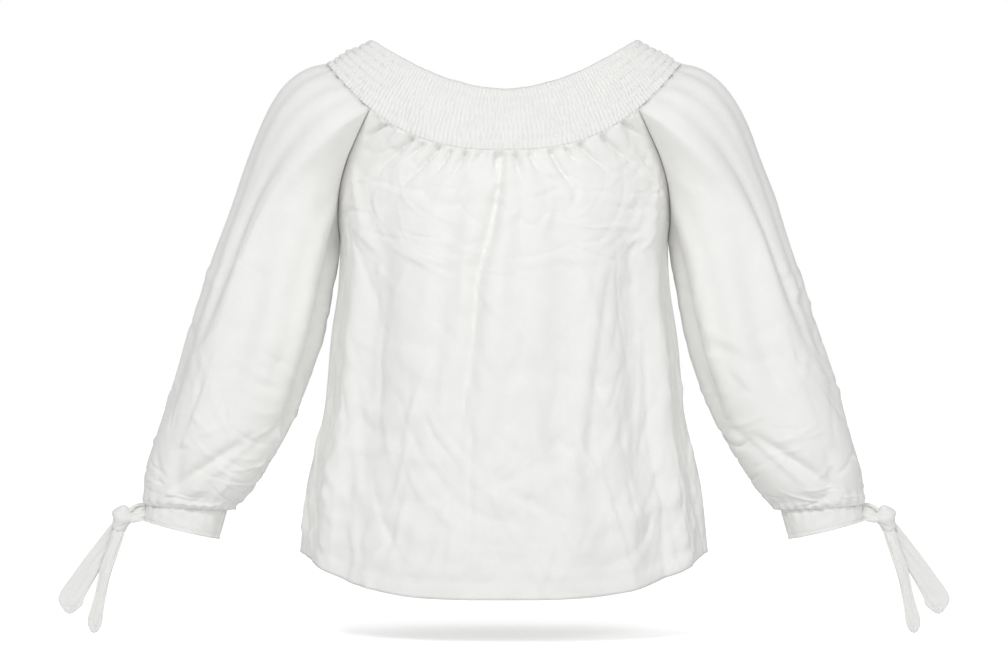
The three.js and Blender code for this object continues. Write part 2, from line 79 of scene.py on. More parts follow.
# ---------- folds ----------
# A fold runs from a place across the cloth toward another, between two stations. On a panel, across and the half
# width are parts of the panel's half width, and the stations are 0 at the yoke, 1 at the armpits and 2 at the hem.
# On a sleeve they are degrees round it, and the stations are 0 at the armhole and 6 at the cuff.
# columns: across, toward, from, to, half width, rise in mm (troughs are negative), sharpness, bow
FOLD_DEPTH = 1.2
GATHER_DEPTH = 2.3
SLEEVE_FOLD_DEPTH = 1.5
FRONT_FOLDS = [
    (-0.01, -0.07, 0.0, 1.0, 0.030, -7.0, 1.6, 0.0),
    (-0.03, -0.15, 0.25, 1.5, 0.032, -8.0, 1.7, 0.0),
    (0.04, -0.08, 0.1, 1.6, 0.055, 4.5, 0.8, 0.0),
    (-0.10, -0.22, 0.2, 1.5, 0.060, 3.5, 0.8, 0.0),
    (-0.12, -0.10, 1.4, 2.0, 0.012, -2.0, 1.4, 0.0),
    (-0.56, -0.58, 0.45, 2.4, 0.110, -7.0, 0.8, 0.02),
    (0.57, 0.56, 0.6, 2.5, 0.090, -8.0, 0.9, -0.02),
    (0.62, 0.58, 1.2, 2.3, 0.025, -3.5, 1.6, 0.0),
    (-0.24, -0.20, 0.25, 1.9, 0.080, -4.0, 0.8, 0.02),
    (0.26, 0.19, 0.2, 1.7, 0.080, -4.5, 0.8, 0.02),
    (-0.12, -0.33, 0.9, 1.7, 0.055, 3.5, 1.0, 0.03),
    (-0.02, 0.16, 1.0, 1.75, 0.050, 2.8, 1.0, 0.02),
    (0.46, 0.27, 0.95, 1.75, 0.040, -3.5, 1.3, -0.02),
    (0.40, 0.20, 1.05, 1.9, 0.055, 3.0, 1.0, -0.02),
    (0.86, 0.80, 0.9, 2.3, 0.080, -3.5, 0.8, 0.0),
    (-0.84, -0.80, 1.0, 2.4, 0.080, -3.5, 0.8, 0.0),
    (-0.70, -0.66, 0.7, 2.2, 0.060, 3.0, 0.9, 0.0),
    (0.72, 0.69, 0.6, 2.3, 0.055, 3.0, 0.9, 0.0),
    (-0.40, -0.45, 1.3, 2.5, 0.070, -3.0, 0.9, 0.02),
    (0.33, 0.40, 1.4, 2.5, 0.070, -3.0, 0.9, -0.02),
    (-0.95, -0.55, 0.35, 1.1, 0.050, 2.6, 1.0, 0.05),
    (0.95, 0.60, 0.4, 1.15, 0.050, 2.6, 1.0, -0.05),
]
# gathers that radiate from under the smocking
FRONT_GATHERS = [
    (-0.82, -1.0, 0.0, 0.28, 0.022, -2.6, 1.3, 0.0),
    (-0.62, -0.74, 0.0, 0.40, 0.022, -3.2, 1.4, 0.0),
    (-0.53, -0.60, 0.0, 0.25, 0.018, -2.8, 1.4, 0.0),
    (-0.43, -0.53, 0.0, 0.46, 0.020, -3.2, 1.5, 0.0),
    (-0.34, -0.38, 0.0, 0.26, 0.018, -3.2, 1.4, 0.0),
    (-0.25, -0.29, 0.0, 0.30, 0.018, -3.4, 1.4, 0.0),
    (-0.15, -0.20, 0.0, 0.17, 0.014, -2.6, 1.4, 0.0),
    (-0.05, -0.05, 0.0, 0.22, 0.016, -3.8, 1.5, 0.0),
    (0.07, 0.09, 0.0, 0.24, 0.018, -3.8, 1.5, 0.0),
    (0.16, 0.19, 0.0, 0.18, 0.014, -2.4, 1.4, 0.0),
    (0.30, 0.36, 0.0, 0.42, 0.020, -3.4, 1.4, 0.0),
    (0.40, 0.44, 0.0, 0.20, 0.016, -2.6, 1.4, 0.0),
    (0.50, 0.58, 0.0, 0.34, 0.020, -3.2, 1.4, 0.0),
    (0.66, 0.78, 0.0, 0.40, 0.022, -3.2, 1.4, 0.0),
    (0.84, 0.98, 0.0, 0.26, 0.020, -2.6, 1.3, 0.0),
]
BACK_FOLDS = [
    (0.05, 0.12, -0.02, 1.7, 0.040, -6.0, 1.3, 0.02),
    (-0.50, -0.56, 0.4, 2.4, 0.100, -6.5, 0.8, 0.0),
    (0.60, 0.55, 0.5, 2.5, 0.090, -7.0, 0.9, 0.0),
    (-0.27, -0.20, 0.2, 1.8, 0.080, -4.0, 0.8, 0.0),
    (0.33, 0.30, 0.9, 2.3, 0.070, -3.5, 0.9, 0.02),
    (0.82, 0.80, 1.0, 2.4, 0.080, -3.0, 0.9, 0.0),
    (-0.80, -0.78, 0.8, 2.3, 0.070, -3.0, 0.9, 0.0),
    (-0.05, -0.28, 1.0, 1.8, 0.050, 3.0, 1.0, 0.02),
    (0.20, 0.42, 0.9, 1.7, 0.050, 3.0, 1.0, 0.0),
]
BACK_GATHERS = [
    (-0.74, -0.88, 0.0, 0.34, 0.022, -2.8, 1.4, 0.0),
    (-0.52, -0.62, 0.0, 0.42, 0.020, -3.2, 1.4, 0.0),
    (-0.36, -0.42, 0.0, 0.28, 0.018, -3.0, 1.4, 0.0),
    (-0.19, -0.22, 0.0, 0.36, 0.018, -3.2, 1.4, 0.0),
    (-0.04, -0.05, 0.0, 0.20, 0.016, -2.8, 1.4, 0.0),
    (0.17, 0.20, 0.0, 0.30, 0.018, -3.2, 1.4, 0.0),
    (0.34, 0.40, 0.0, 0.44, 0.020, -3.2, 1.4, 0.0),
    (0.55, 0.64, 0.0, 0.30, 0.020, -2.8, 1.4, 0.0),
    (0.77, 0.92, 0.0, 0.36, 0.022, -3.0, 1.4, 0.0),
]
SLEEVE_FOLDS = [
    (-126, -134, 0.1, 3.0, 11, 3.0, 1.0, 0),
    (-158, -160, 0.05, 3.3, 15, -8.0, 0.9, 0),
    (-48, -40, 0.25, 2.6, 9, -5.0, 1.0, 0),
    (-62, -60, 0.1, 2.0, 10, 3.0, 0.9, 0),
    (-98, -112, 0.5, 3.2, 15, 3.5, 0.9, 0),
    (-80, -88, 0.8, 3.6, 13, -3.5, 0.9, 0),
    (-25, -22, 0.4, 3.8, 12, -3.0, 0.9, 0),
    (-128, -72, 3.3, 5.3, 9, -4.5, 1.1, 6),
    (-150, -100, 3.0, 5.0, 9, -4.0, 1.1, 6),
    (-140, -92, 3.2, 5.4, 9, 3.5, 1.0, 6),
    (-60, -78, 4.0, 5.6, 9, -3.0, 1.1, 0),
    (60, 70, 0.4, 3.2, 15, -5.0, 0.9, 0),
    (120, 95, 2.6, 5.2, 14, -4.5, 1.0, 0),
    (90, 80, 1.0, 3.8, 12, 3.0, 0.9, 0),
    (20, 10, 2.2, 5.3, 12, -3.0, 0.9, 0),
    (140, 120, 3.0, 5.4, 9, 3.0, 1.0, 0),
]

# crumples: how many, reach in the cloth's own units, rise in mm, and the stations they lie between
PANEL_CRUMPLES = dict(
    low=dict(count=110, reach=0.12, rise=2.4, first=1.3, last=2.05),
    high=dict(count=80, reach=0.16, rise=1.7, first=0.2, last=1.4),
    fine=dict(count=320, reach=0.12, rise=1.1, first=0.1, last=2.0),
    hem=dict(count=150, reach=0.13, rise=1.7, first=1.5, last=2.0),
)
SLEEVE_CRUMPLES = dict(
    low=dict(count=110, reach=0.28, rise=2.0, first=2.5, last=5.9),
    high=dict(count=60, reach=0.35, rise=1.4, first=0.4, last=3.0),
)
# ripples run down from a gathered edge: rise in mm, fade and start in stations, and waves to one turn, which
# sway by so many radians, so many times to the turn
PANEL_RIPPLES = [
    dict(rise=1.9, fade=0.17, start=0.03, waves=53, sway=2.4, sways=7, shift=0, lean=0),
    dict(rise=1.0, fade=0.5, start=0.1, waves=43, sway=2.6, sways=4, shift=1, lean=0.8),
]
SHOULDER_RIPPLES = [dict(rise=1.8, fade=0.5, start=0.08, waves=31, sway=2, sways=6, shift=0, lean=0)]
CUFF_RIPPLES = [dict(rise=1.7, fade=0.35, start=0.08, waves=23, sway=1.5, sways=3, shift=0, lean=0)]
# how fast the smocking's own pleats fade below it, in stations
PLEAT_FADE_PANEL = 0.05
PLEAT_FADE_SLEEVE = 0.12

# ---------- ties ----------
# points are x, y, z and width in mm, turn is the strip's twist in degrees, and hemmed ends have a stitched line
TIES = {
    "strap_front": dict(node="tie_strap_front", hemmed=False, thick=2.6, turn=35, points=[
        (374, -15, -467, 14), (380, -16.5, -469.5, 14), (386, -17, -472, 12), (392, -15, -474, 10)]),
    "strap_back": dict(node="tie_strap_back", hemmed=False, thick=2.6, turn=-30, points=[
        (374, -9, -463, 11), (380, -8, -463.5, 12), (386, -8, -465, 11), (393, -10, -468, 9)]),
    "tail_wide": dict(node="tie_tail_wide", hemmed=True, thick=2.4, turn=0, points=[
        (403, -10, -480, 12), (408, -9.4, -488, 16), (418.5, -8.5, -504, 19), (432, -8, -523, 21),
        (443.5, -8, -541, 23), (452, -8.2, -555, 26), (453.6, -8.5, -561, 26.5), (454.6, -8.5, -567, 19),
        (455.4, -8.5, -574, 5)]),
    "tail_narrow": dict(node="tie_tail_narrow", hemmed=True, thick=3.0, turn=0, points=[
        (401, -14, -483, 11), (404.5, -15.4, -494, 13), (410, -16, -510, 13), (417, -16, -531, 12.5),
        (421.5, -15, -552, 12), (425, -15, -568, 14), (427.4, -15, -580, 15.5), (428.3, -15, -587, 13),
        (428.8, -15, -593.5, 5)]),
}
KNOT = dict(x=400, y=-12, z=-474, half_width=10.5, half_depth=10.5, half_length=14.5, tilt=12)


# the cloth sinks beside the armhole seam: how far in mm, and over what part of the panel's half width
SEAM_SINK = 2.5
SEAM_VALLEY = 0.10
# the stitched line of the turned hem, up from the edge, in parts of the cloth below the chest line
TURNED_HEM = 0.055


# ---------- helpers ----------
def profile(table, column, at, key="station"):
    """The table's column at each value, on a smooth curve through its rows."""
    keys = np.asarray(table[key], float)
    values = np.asarray(table[column], float)
    at = np.clip(at, keys[0], keys[-1])
    row = np.clip(np.searchsorted(keys, at, side="right") - 1, 0, len(keys) - 2)
    before = np.maximum(row - 1, 0)
    after = np.minimum(row + 2, len(keys) - 1)
    span = keys[row + 1] - keys[row]
    t = (at - keys[row]) / span
    slope_a = (values[row + 1] - values[before]) / (keys[row + 1] - keys[before]) * span
    slope_b = (values[after] - values[row]) / (keys[after] - keys[row]) * span
    return (values[row] * (1 + 2 * t) * (1 - t) ** 2 + slope_a * t * (1 - t) ** 2
            + values[row + 1] * t * t * (3 - 2 * t) - slope_b * t * t * (1 - t))


def smooth(x, low, high):
    t = np.clip((x - low) / (high - low), 0, 1)
    return t * t * (3 - 2 * t)


def fold_lift(folds, across, station, wrap=None, depth=1.0):
    lift = np.zeros_like(across)
    for start, end, first, last, half, rise, sharp, bow in folds:
        run = np.clip((station - first) / (last - first), 0, 1)
        centre = start + (end - start) * run + bow * np.sin(math.pi * run)
        off = across - centre
        if wrap:
            off = (off + wrap / 2) % wrap - wrap / 2
        flank = np.exp(-np.abs(off / half) ** (2 / sharp) * 1.2)
        if first <= 0:
            ends = smooth(1 - run, 0, 0.7)
        else:
            ends = np.sin(math.pi * run) ** 0.7
        lift += depth * rise * flank * ends
    return lift


def ripples(table, angle, station):
    lift = 0
    for row in table:
        sway = row["sway"] * np.sin(row["sways"] * angle + row["shift"])
        wave = np.sin(row["waves"] * angle + sway + row["lean"] * station)
        fade = np.exp(-station / row["fade"]) * smooth(station, 0, row["start"])
        lift = lift + row["rise"] * fade * wave
    return lift


def crumple(seed, across, station, count, reach, rise, first, last):
    """Short uneven creases at many angles, in the same units across and along."""
    rng = np.random.default_rng(seed)
    lift = np.zeros_like(across)
    for _ in range(count):
        centre_a = rng.uniform(across.min(), across.max())
        centre_s = rng.uniform(first, last)
        angle = rng.normal(0.5 * rng.choice([-1, 1]), 0.7)
        length = reach * rng.uniform(0.6, 1.8)
        width = reach * rng.uniform(0.10, 0.26)
        height = rise * rng.uniform(0.4, 1.0) * rng.choice([-1, 1])
        u = (across - centre_a) * math.cos(angle) + (station - centre_s) * math.sin(angle)
        v = -(across - centre_a) * math.sin(angle) + (station - centre_s) * math.cos(angle)
        v = v + 0.10 * u * u / length
        lift += height * np.exp(-(u / length) ** 2 - (v / width) ** 2)
    return lift


def swell(seed, a, b, count=14, low=20.0, high=80.0):
    """Gentle unevenness: a seeded sum of long waves over places in millimetres."""
    rng = np.random.default_rng(seed)
    total = np.zeros(np.broadcast(a, b).shape)
    for _ in range(count):
        angle = rng.uniform(0, math.pi)
        wave = rng.uniform(low, high)
        total += np.sin((a * math.cos(angle) + b * math.sin(angle)) / wave * 2 + rng.uniform(0, 6.3))
    return total / math.sqrt(count)


def grid_normals(points, is_tube):
    if is_tube:
        along = np.roll(points, -1, 1) - np.roll(points, 1, 1)
    else:
        along = np.gradient(points, axis=1)
    down = np.gradient(points, axis=0)
    normal = np.cross(down, along)
    return normal / np.linalg.norm(normal, axis=2, keepdims=True)


def grid_object(name, points, is_tube, material, shell=SHELL, mirror=False):
    """A thin shell on a grid of points: rows go down and columns round."""
    points = points.copy()
    if mirror:
        points[..., 0] *= -1
        points = points[:, ::-1]
    rows, columns = points.shape[:2]
    index = np.arange(rows * columns).reshape(rows, columns)
    right = np.roll(index, -1, 1) if is_tube else index[:, 1:]
    left = index if is_tube else index[:, :-1]
    quads = np.stack([left[:-1], left[1:], right[1:], right[:-1]], axis=-1).reshape(-1, 4)
    mesh = bpy.data.meshes.new(name)
    mesh.from_pydata((points.reshape(-1, 3) * MM).tolist(), [], quads.tolist())
    mesh.polygons.foreach_set("use_smooth", [True] * len(mesh.polygons))
    obj = bpy.data.objects.new(name, mesh)
    bpy.context.scene.collection.objects.link(obj)
    solid = obj.modifiers.new("cloth", "SOLIDIFY")
    solid.thickness = shell * MM
    solid.offset = -1
    mesh.materials.append(material)
    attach(obj, "root")
    return obj


# ---------- forms ----------
def ring(table, angle):
    across, ahead = np.sin(angle), np.cos(angle)
    middle = np.where(ahead > 0, table["middle_front"], table["middle_back"])
    drop = 1 - np.abs(across) ** table["curve"]
    depth = np.where(ahead > 0, table["front"], table["back"])
    return np.stack([table["half_width"] * across, -depth * ahead,
                     table["side"] + (middle - table["side"]) * drop], -1)


def panel_form(is_front, station, turn):
    edge = np.radians(np.minimum(profile(BODY, "edge_angle", station), 90))
    half = profile(BODY, "half_width", station)
    depth = profile(BODY, "front" if is_front else "back", station)
    top = ring(YOKE, turn * RAGLAN + (0 if is_front else math.pi))[..., 2]
    chest = ARMPIT_HEIGHT - CHEST_DIP * np.cos(0.5 * math.pi * turn) ** 2
    side = np.abs(np.sin(0.5 * math.pi * turn)) ** HEM_CURVE
    hem = HEM_MIDDLE + (HEM_SIDE - HEM_MIDDLE) * side
    facing = 1 if is_front else -1
    height = np.where(station < 1, top + (chest - top) * station, chest + (hem - chest) * (station - 1))
    return np.stack([facing * half * np.sin(turn * edge) / np.sin(edge),
                     -facing * depth * np.cos(turn * edge), height], -1)


def arm_ring(section, around):
    across, behind = np.cos(around), np.sin(around)
    tilt = np.radians(section["tilt"])
    return np.stack([section["x"] + section["half_width"] * across * np.cos(tilt),
                     section["y"] + section["half_depth"] * behind,
                     section["z"] + section["half_width"] * across * np.sin(tilt)], -1)


def sleeve_section(station):
    return {key: profile(SLEEVE, key, station) for key in SLEEVE if key != "station"}


def armhole(around):
    """The armhole's point for each angle round the arm, from -60 to 300 degrees."""
    over = (around + SHOULDER_SPREAD) / (2 * SHOULDER_SPREAD)
    on_yoke = ring(YOKE, RAGLAN + (math.pi - 2 * RAGLAN) * over)
    down = np.clip((around - SHOULDER_SPREAD) / (360 - 2 * SHOULDER_SPREAD), 0, 1)
    back = panel_form(False, np.clip(2 * down, 0, 1), -np.ones_like(down))
    front = panel_form(True, np.clip(2 - 2 * down, 0, 1), np.ones_like(down))
    seam = np.where((down < 0.5)[..., None], back, front)
    return np.where((around <= SHOULDER_SPREAD)[..., None], on_yoke, seam)


def sleeve_form(station, around):
    angle = np.radians(around)
    lower = arm_ring(sleeve_section(np.maximum(station, 1)), angle)
    start = armhole(around)
    first = arm_ring(sleeve_section(np.ones_like(station)), angle)
    second = arm_ring(sleeve_section(np.full_like(station, 1.1)), angle)
    reach = np.linalg.norm(first - start, axis=-1, keepdims=True)
    across, behind = np.cos(angle), np.sin(angle)
    leaving = np.stack([0.55 + 0.45 * across - 0.2 * behind ** 2, 0.55 * behind,
                        -0.55 + 0.5 * across], -1)
    leaving /= np.linalg.norm(leaving, axis=-1, keepdims=True)
    arriving = first - second
    arriving /= np.linalg.norm(arriving, axis=-1, keepdims=True)
    t = np.clip(station, 0, 1)[..., None]
    one, two = start + PUFF_OUT * reach * leaving, first + PUFF_IN * reach * arriving
    upper = ((1 - t) ** 3 * start + 3 * t * (1 - t) ** 2 * one
             + 3 * t * t * (1 - t) * two + t ** 3 * first)
    return np.where((station >= 1)[..., None], lower, upper)


# ---------- smocking shared by the yoke and the cloth under it ----------
def pleat_wave(angle, drift):
    """Fine upright pleats round the yoke. drift moves each pleat a little from row to row."""
    wander = 1.3 * np.sin(9 * angle + drift) + 1.1 * np.sin(23 * angle - 1.7 * drift)
    return np.cos(PLEATS * angle + wander)


# ---------- materials ----------
def cloth_material(name, colour, weave, bump):
    material = bpy.data.materials.new(name)
    material.use_nodes = True
    nodes, links = material.node_tree.nodes, material.node_tree.links
    shader = nodes["Principled BSDF"]
    shader.inputs["Roughness"].default_value = 0.88
    shader.inputs["Specular IOR Level"].default_value = 0.25
    shader.inputs["Sheen Weight"].default_value = 0.15
    shader.inputs["Sheen Roughness"].default_value = 0.5
    place = nodes.new("ShaderNodeTexCoord")
    slub = nodes.new("ShaderNodeTexNoise")
    slub.inputs["Scale"].default_value = 45
    slub.inputs["Detail"].default_value = 4
    links.new(place.outputs["Object"], slub.inputs["Vector"])
    tone = nodes.new("ShaderNodeValToRGB")
    tone.color_ramp.elements[0].position = 0.3
    tone.color_ramp.elements[0].color = (*[c * 0.975 for c in colour], 1)
    tone.color_ramp.elements[1].position = 0.7
    tone.color_ramp.elements[1].color = (*colour, 1)
    links.new(slub.outputs["Fac"], tone.inputs["Fac"])
    links.new(tone.outputs["Color"], shader.inputs["Base Color"])
    threads = []
    for axis in ("X", "Z"):
        wave = nodes.new("ShaderNodeTexWave")
        wave.bands_direction = axis
        wave.inputs["Scale"].default_value = weave
        wave.inputs["Distortion"].default_value = 1.5
        wave.inputs["Detail"].default_value = 2
        links.new(place.outputs["Object"], wave.inputs["Vector"])
        threads.append(wave)
    woven = nodes.new("ShaderNodeMath")
    woven.operation = "ADD"
    links.new(threads[0].outputs["Fac"], woven.inputs[0])
    links.new(threads[1].outputs["Fac"], woven.inputs[1])
    fine = nodes.new("ShaderNodeBump")
    fine.inputs["Strength"].default_value = 0.12
    fine.inputs["Distance"].default_value = 0.0001
    links.new(woven.outputs[0], fine.inputs["Height"])
    crush = nodes.new("ShaderNodeTexNoise")
    crush.inputs["Scale"].default_value = 60
    crush.inputs["Detail"].default_value = 6
    crush.inputs["Distortion"].default_value = 0.6
    links.new(place.outputs["Object"], crush.inputs["Vector"])
    soft = nodes.new("ShaderNodeBump")
    soft.inputs["Strength"].default_value = bump
    soft.inputs["Distance"].default_value = 0.002
    links.new(crush.outputs["Fac"], soft.inputs["Height"])
    links.new(fine.outputs["Normal"], soft.inputs["Normal"])
    links.new(soft.outputs["Normal"], shader.inputs["Normal"])
    return material


CLOTH = cloth_material("white_cloth", (0.885, 0.883, 0.866), 450, 0.3)
# the smocked yoke is the same white cloth made a little darker: painted shade for the shadows among its fine pleats
SMOCKED_PAINTED_SHADE = cloth_material("smocked_cloth", (0.855, 0.855, 0.838), 450, 0.15)


# ---------- pieces ----------
def make_yoke():
    columns, rows = 1180, 36
    angle = np.linspace(0, 2 * math.pi, columns, endpoint=False)[None, :]
    down = np.linspace(0, 1, rows)[:, None]
    top, low = ring(NECK, angle), ring(YOKE, angle)
    points = top + (low - top) * down[..., None]
    outward = points * [1, 1, 0]
    outward = outward / np.linalg.norm(outward, axis=2, keepdims=True)
    points = points + outward * (2.5 * np.sin(math.pi * down))[..., None]
    normal = grid_normals(points, True)
    between_rows = np.abs(np.sin(math.pi * ELASTIC_ROWS * down))
    drift = ROW_DRIFT * np.floor(ELASTIC_ROWS * down)
    wave = pleat_wave(angle, drift) * (0.45 + 0.55 * between_rows)
    lift = PLEAT_DEPTH * wave + ROW_PINCH * (between_rows - 0.6)
    lift = lift + 0.5 * swell(3, angle * 185, down * 60, low=8, high=30)
    lift = lift + 0.35 * swell(5, angle * 185, down * 60, count=20, low=1.6, high=5)
    frill = smooth(down, 0.9, 1.0)
    lift = lift * (1 - frill) + frill * edge_lift(angle)
    points = points + normal * lift[..., None]
    return grid_object("yoke_smocking", points, True, SMOCKED_PAINTED_SHADE)


def edge_lift(angle):
    """How far the cloth stands out where the yoke meets the pieces under it."""
    pleats = pleat_wave(angle, ROW_DRIFT * (ELASTIC_ROWS - 1))
    return 0.9 * pleats + 0.6 * np.sin(61 * angle + 1.3 * np.sin(7 * angle))


def panel_points(is_front, columns, rows, folds, gathers, seed):
    turn = np.linspace(-1, 1, columns)[None, :] + np.zeros((rows, 1))
    station = 2 * np.linspace(0, 1, rows)[:, None] ** 1.15 + np.zeros((1, columns))
    points = panel_form(is_front, station, turn)
    normal = grid_normals(points, False)
    lift = (fold_lift(folds, turn, station, depth=FOLD_DEPTH)
            + fold_lift(gathers, turn, station, depth=GATHER_DEPTH))
    near_edge = smooth(1 - np.abs(turn), 0, 0.10)
    low = smooth(station, 1.0, 1.9)
    across = 1.5 * turn  # about the same scale as the stations
    lift += crumple(seed, across, station, **PANEL_CRUMPLES["low"]) * (0.35 + 0.65 * low)
    lift += crumple(seed + 1, across, station, **PANEL_CRUMPLES["high"])
    lift += crumple(seed + 3, across, station, **PANEL_CRUMPLES["fine"])
    lift += crumple(seed + 4, across, station, **PANEL_CRUMPLES["hem"])
    lift += 0.7 * swell(seed + 2, points[..., 0], points[..., 2])
    lift -= 1.0 * np.exp(-((2 - station - TURNED_HEM) / 0.013) ** 2)
    lift *= near_edge * smooth(station, 0, 0.05)
    from_seam = (1 - np.abs(turn)) / SEAM_VALLEY
    beside_armhole = smooth(station, 0.05, 0.4) * smooth(1.15 - station, 0, 0.3)
    lift -= SEAM_SINK * from_seam * np.exp(1 - from_seam) * beside_armhole
    angle = turn * RAGLAN + (0 if is_front else math.pi)
    gathered = np.exp(-station / PLEAT_FADE_PANEL) * edge_lift(angle) + ripples(PANEL_RIPPLES, angle, station)
    lift += gathered * (0.3 + 0.7 * near_edge)
    return points + normal * lift[..., None]


def make_panels():
    front = panel_points(True, 231, 210, FRONT_FOLDS, FRONT_GATHERS, 21)
    back = panel_points(False, 201, 180, BACK_FOLDS, BACK_GATHERS, 41)
    return (grid_object("front_cloth", front, False, CLOTH), grid_object("back_cloth", back, False, CLOTH))


def sleeve_points(seed):
    columns, rows = 150, 190
    around = np.linspace(-SHOULDER_SPREAD, 360 - SHOULDER_SPREAD, columns, endpoint=False)[None, :]
    around = around + np.zeros((rows, 1))
    station = 6 * np.linspace(0, 1, rows)[:, None] + np.zeros((1, columns))
    points = sleeve_form(station, around)
    normal = grid_normals(points, True)
    near_yoke = smooth(SHOULDER_SPREAD - np.abs(around), -12, 6)
    lift = fold_lift(SLEEVE_FOLDS, around, station, 360, depth=SLEEVE_FOLD_DEPTH)
    turned = np.radians(around)
    lift += crumple(seed, around / 60, station, **SLEEVE_CRUMPLES["low"])
    lift += crumple(seed + 1, around / 60, station, **SLEEVE_CRUMPLES["high"])
    lift += 0.8 * swell(seed + 2, 65 * np.cos(turned) + 65 * turned, points[..., 2])
    to_cuff = 6 - station
    lift *= smooth(station, 0, 0.35) * smooth(to_cuff, 0, 0.5)
    over = (around + SHOULDER_SPREAD) / (2 * SHOULDER_SPREAD)
    yoke_angle = RAGLAN + (math.pi - 2 * RAGLAN) * over
    shoulder = (np.exp(-station / PLEAT_FADE_SLEEVE) * edge_lift(yoke_angle)
                + ripples(SHOULDER_RIPPLES, yoke_angle, station))
    lift += shoulder * near_yoke
    lift += ripples(CUFF_RIPPLES, turned, to_cuff)
    lift += 3.0 * np.exp(-((5.75 - station) / 0.22) ** 2)  # the sleeve blouses out over its cuff
    return points + normal * lift[..., None]


def cuff_points():
    columns, rows = 180, 22
    around = np.radians(np.linspace(-180, 180, columns, endpoint=False))[None, :]
    down = np.linspace(0, 1, rows)[:, None]
    last = {key: SLEEVE[key][-1] for key in SLEEVE if key != "station"}
    top, low = arm_ring(last, around), arm_ring(CUFF_BOTTOM, around)
    points = top + (low - top) * down[..., None]
    normal = grid_normals(points, True)
    stitched = -0.7 * np.exp(-((down - 0.86) / 0.03) ** 2) - 0.6 * np.exp(-((down - 0.1) / 0.03) ** 2)
    lift = stitched + 0.5 * swell(77, around * 40, down * 30, low=4, high=18)
    lift = lift + 0.5 * np.sin(23 * around) * (1 - down) ** 2
    return points + normal * lift[..., None]


def strip_points(tie):
    """A soft folded strip: a flat rounded section along a smooth line, twisted by turn degrees."""
    keys = dict(station=list(range(len(tie["points"]))))
    for i, column in enumerate(("x", "y", "z", "width")):
        keys[column] = [row[i] for row in tie["points"]]
    steps = 16 * (len(tie["points"]) - 1) + 1
    at = np.linspace(0, len(tie["points"]) - 1, steps)
    line = np.stack([profile(keys, c, at) for c in "xyz"], -1)
    width = profile(keys, "width", at)
    along = np.gradient(line, axis=0)
    along /= np.linalg.norm(along, axis=1, keepdims=True)
    depth = np.array([0.0, 1.0, 0.0])
    side = np.cross(along, depth)
    side /= np.linalg.norm(side, axis=1, keepdims=True)
    out = np.cross(side, along)
    twist = np.radians(tie["turn"]) * np.linspace(-0.5, 1, steps)[:, None]
    side, out = side * np.cos(twist) + out * np.sin(twist), out * np.cos(twist) - side * np.sin(twist)
    ends = np.clip(np.minimum(at, at[-1] - at) * 4, 0.12, 1) ** 0.5
    round_about = np.linspace(0, 2 * math.pi, 64, endpoint=False)
    c, s = np.cos(round_about), np.sin(round_about)
    flat = np.sign(c) * np.abs(c) ** 0.75
    ripple = 0.7 * np.sin(6.2 * flat + 0.9 * at[:, None]) + 0.5 * np.sin(11 * flat - 1.7 * at[:, None] + tie["turn"])
    stitched = 1 - 0.45 * np.exp(-((np.abs(flat) - 0.74) / 0.07) ** 2)
    crossed = 1 - 0.45 * np.exp(-((at - at[-1] + 1.1) / 0.08) ** 2) if tie["hemmed"] else np.ones(steps)
    thickness = tie["thick"] / 2 * ends[:, None] * stitched * crossed[:, None]
    points = (line[:, None] + side[:, None] * (width[:, None] / 2 * flat * ends[:, None])[..., None]
              + out[:, None] * (thickness * s + ripple * ends[:, None] * 0.8)[..., None])
    return points


def closed_object(name, points, mirror):
    """A closed soft form on a grid of points whose columns go round, with its ends capped."""
    points = points.copy()
    if mirror:
        points[..., 0] *= -1
        points = points[:, ::-1]
    rows, columns = points.shape[:2]
    index = np.arange(rows * columns).reshape(rows, columns)
    right = np.roll(index, -1, 1)
    quads = np.stack([index[:-1], index[1:], right[1:], right[:-1]], -1).reshape(-1, 4).tolist()
    faces = quads + [index[0].tolist(), index[-1][::-1].tolist()]
    mesh = bpy.data.meshes.new(name)
    mesh.from_pydata((points.reshape(-1, 3) * MM).tolist(), [], faces)
    mesh.polygons.foreach_set("use_smooth", [True] * len(mesh.polygons))
    mesh.materials.append(CLOTH)
    obj = bpy.data.objects.new(name, mesh)
    bpy.context.scene.collection.objects.link(obj)
    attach(obj, "root")
    return obj


def knot_points():
    """The wrapped knot: a rounded form with the turns of the strip as slanting swells."""
    rows, columns = 60, 80
    polar = np.linspace(0.06, math.pi - 0.06, rows)[:, None]
    turn = np.linspace(0, 2 * math.pi, columns, endpoint=False)[None, :]
    wrap = 1 + 0.13 * np.cos(4.6 * polar + 1.0 * np.sin(turn + 0.6) + 0.4)
    wrap = wrap - 0.10 * np.exp(-((polar - 1.15 - 0.45 * np.cos(turn)) / 0.12) ** 2)
    wrap = wrap - 0.08 * np.exp(-((polar - 2.0 - 0.5 * np.cos(turn + 0.5)) / 0.10) ** 2)
    x = KNOT["half_width"] * np.sin(polar) * np.cos(turn) * wrap
    y = KNOT["half_depth"] * np.sin(polar) * np.sin(turn) * wrap
    z = KNOT["half_length"] * np.cos(polar) * (0.9 + 0.1 * wrap) + 0 * turn
    tilt = math.radians(KNOT["tilt"])
    return np.stack([KNOT["x"] + x * math.cos(tilt) - z * math.sin(tilt), KNOT["y"] + y,
                     KNOT["z"] + z * math.cos(tilt) + x * math.sin(tilt)], -1)[:, ::-1]


# ---------- assembly ----------
def cover(node):
    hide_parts(node)


